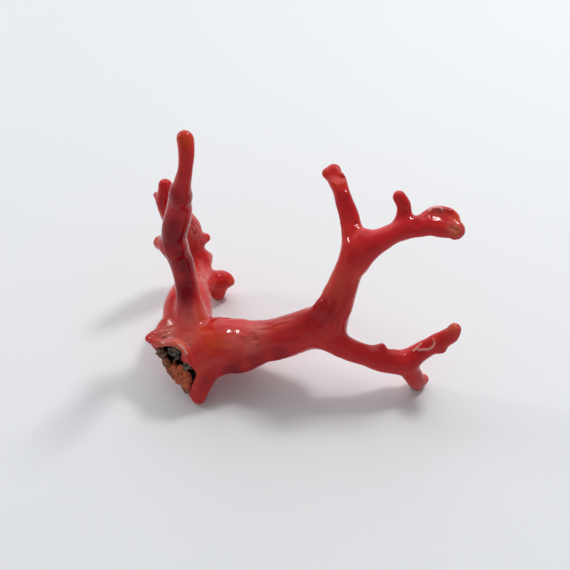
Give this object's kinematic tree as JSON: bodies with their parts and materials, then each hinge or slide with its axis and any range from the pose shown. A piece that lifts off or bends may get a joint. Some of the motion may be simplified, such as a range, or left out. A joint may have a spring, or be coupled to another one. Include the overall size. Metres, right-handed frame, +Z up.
{
  "type": "red coral branch",
  "caption": "Branch of polished precious red coral with a broken root end, forking into branches, knobs and short twigs, lying on its cut tips.",
  "frame": {"origin": "on the ground, under the middle of the coral's box", "axes": "+Z up from the surface the coral lies on, +X along the main branch from the root, +Y from the broken end of the root towards the back branch"},
  "size_m": [0.0531, 0.0333, 0.044],
  "materials": {
    "polished_coral": "gloss",
    "root_crust": "matte"
  },
  "bodies": {
    "root": {"root_base": "polished_coral", "root_crust": "root_crust", "main_branch": "polished_coral", "upper_branch": "polished_coral", "upper_left_branch": "polished_coral", "upper_right_branch": "polished_coral", "curled_twig": "polished_coral", "paddle_tip": "polished_coral", "lower_branch": "polished_coral", "lower_branch_foot": "polished_coral", "lower_branch_tip": "polished_coral", "upright_branch": "polished_coral", "back_branch": "polished_coral", "back_branch_stub": "polished_coral", "back_branch_end": "polished_coral"}
  },
  "joints": []
}
